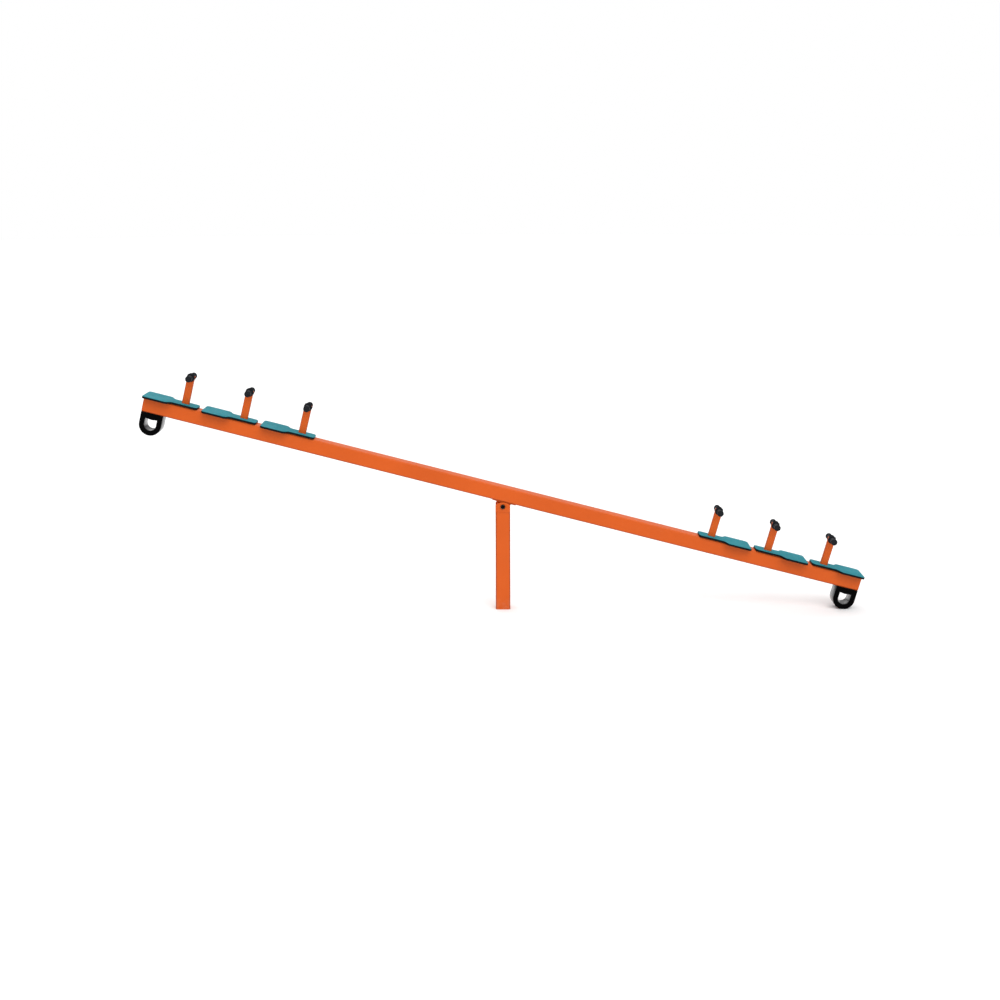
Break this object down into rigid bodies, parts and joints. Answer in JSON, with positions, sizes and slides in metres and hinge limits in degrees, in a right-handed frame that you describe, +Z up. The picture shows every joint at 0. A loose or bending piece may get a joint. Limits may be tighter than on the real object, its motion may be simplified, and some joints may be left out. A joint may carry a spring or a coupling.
{
  "type": "playground seesaw",
  "caption": "Steel playground seesaw: square beam on a fork-topped post, paddle-shaped seats, handle posts with side grips, D-shaped rubber bumpers under both ends.",
  "frame": {"origin": "on the ground, at the centre of the foot plate's underside, directly below the axle", "axes": "+X along the beam towards the end that rests on the ground, +Y to the rear along the axle, +Z up"},
  "size_m": [4.8943, 0.215, 1.6302],
  "materials": {
    "orange_paint": "semi-gloss powder coat",
    "seat_board": "fine-grained polyethylene board, blue-green face on a black core",
    "grip_rubber": "satin moulded rubber",
    "bumper_rubber": "extruded rubber, dull outside, sawn black ends",
    "black_plastic": "satin moulded plastic",
    "zinc_steel": "bright zinc plate",
    "bronze": "plain bearing bronze"
  },
  "bodies": {
    "post_and_fork": {"post": "orange_paint", "foot_plate": "orange_paint", "head_plate": "orange_paint", "fork_ear_front": "orange_paint", "fork_ear_rear": "orange_paint", "axle_bolt": "zinc_steel", "axle_nut": "zinc_steel", "axle_spacer": "zinc_steel", "axle_washer_front": "zinc_steel", "axle_washer_rear": "zinc_steel", "axle_cap_front": "black_plastic", "axle_cap_rear": "black_plastic"},
    "beam_and_seats": {"beam": "orange_paint", "beam_saddle": "orange_paint", "bearing_sleeve": "orange_paint", "bumper_bolts": "zinc_steel", "bumper_left": "bumper_rubber", "bumper_right": "bumper_rubber", "bumper_strip_left": "zinc_steel", "bumper_strip_right": "zinc_steel", "bush_front": "bronze", "bush_rear": "bronze", "end_cap_left": "orange_paint", "end_cap_right": "orange_paint", "grip_left_1_front": "grip_rubber", "grip_left_1_rear": "grip_rubber", "grip_left_2_front": "grip_rubber", "grip_left_2_rear": "grip_rubber", "grip_left_3_front": "grip_rubber", "grip_left_3_rear": "grip_rubber", "grip_right_1_front": "grip_rubber", "grip_right_1_rear": "grip_rubber", "grip_right_2_front": "grip_rubber", "grip_right_2_rear": "grip_rubber", "grip_right_3_front": "grip_rubber", "grip_right_3_rear": "grip_rubber", "handle_plugs": "black_plastic", "handle_post_left_1": "orange_paint", "handle_post_left_2": "orange_paint", "handle_post_left_3": "orange_paint", "handle_post_right_1": "orange_paint", "handle_post_right_2": "orange_paint", "handle_post_right_3": "orange_paint", "handlebar_left_1": "zinc_steel", "handlebar_left_2": "zinc_steel", "handlebar_left_3": "zinc_steel", "handlebar_right_1": "zinc_steel", "handlebar_right_2": "zinc_steel", "handlebar_right_3": "zinc_steel", "saddle_gusset_left": "orange_paint", "saddle_gusset_right": "orange_paint", "seat_left_1": "seat_board", "seat_left_2": "seat_board", "seat_left_3": "seat_board", "seat_right_1": "seat_board", "seat_right_2": "seat_board", "seat_right_3": "seat_board", "seat_screws": "zinc_steel"}
  },
  "joints": [
    {"name": "beam_tilt", "type": "hinge", "parent": "post_and_fork", "child": "beam_and_seats", "pos_m": [0, 0, 0.725], "axis": [0, -1, 0], "range_deg": [0, 29.05]}
  ]
}
